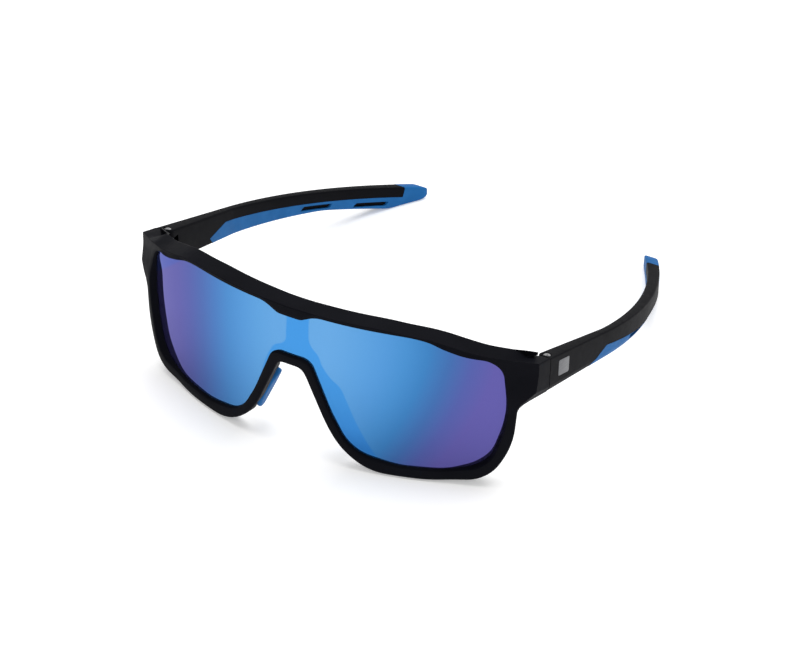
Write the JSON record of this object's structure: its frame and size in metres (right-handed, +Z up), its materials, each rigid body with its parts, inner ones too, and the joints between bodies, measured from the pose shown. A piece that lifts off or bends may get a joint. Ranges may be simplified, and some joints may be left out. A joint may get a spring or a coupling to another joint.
{
  "type": "wraparound sport sunglasses",
  "caption": "Wraparound sport sunglasses with a one-piece curved mirror shield lens, full rim, rubber nose pads and folding temples with rubber grips.",
  "frame": {"origin": "middle of the bounding box in X and Y, at the plane the sunglasses rest on (rim bottom and temple tips)", "axes": "+X towards the wearer's left, +Y from the lens back along the temples, +Z up; the lens faces -Y"},
  "size_m": [0.141, 0.1556, 0.0517],
  "materials": {
    "frame_black": "matte soft-touch moulded nylon",
    "temple_black": "matte soft-touch moulded nylon",
    "lens_mirror": "blue to violet mirror coating on a dark polycarbonate lens",
    "rubber_blue": "matte blue rubber",
    "steel": "plain steel",
    "nylon_washer": "natural nylon",
    "badge_silver": "satin grey"
  },
  "bodies": {
    "front": {"front_frame": "frame_black", "shield_lens": "lens_mirror", "nose_pad_left": "rubber_blue", "nose_pad_right": "rubber_blue", "hinge_washer_left": "nylon_washer", "hinge_washer_right": "nylon_washer"},
    "left_temple": {"temple_left": "temple_black", "temple_grip_left": "rubber_blue", "hinge_screw_left": "steel", "hinge_nut_left": "steel", "badge_left": "badge_silver"},
    "right_temple": {"temple_right": "temple_black", "temple_grip_right": "rubber_blue", "hinge_screw_right": "steel", "hinge_nut_right": "steel", "badge_right": "badge_silver"}
  },
  "joints": [
    {"name": "left_temple_fold", "type": "hinge", "parent": "front", "child": "left_temple", "pos_m": [0.0677, -0.04405, 0.036], "axis": [0, 0, 1], "range_deg": [0, 82]},
    {"name": "right_temple_fold", "type": "hinge", "parent": "front", "child": "right_temple", "pos_m": [-0.0677, -0.04405, 0.036], "axis": [0, 0, -1], "range_deg": [0, 76]}
  ]
}
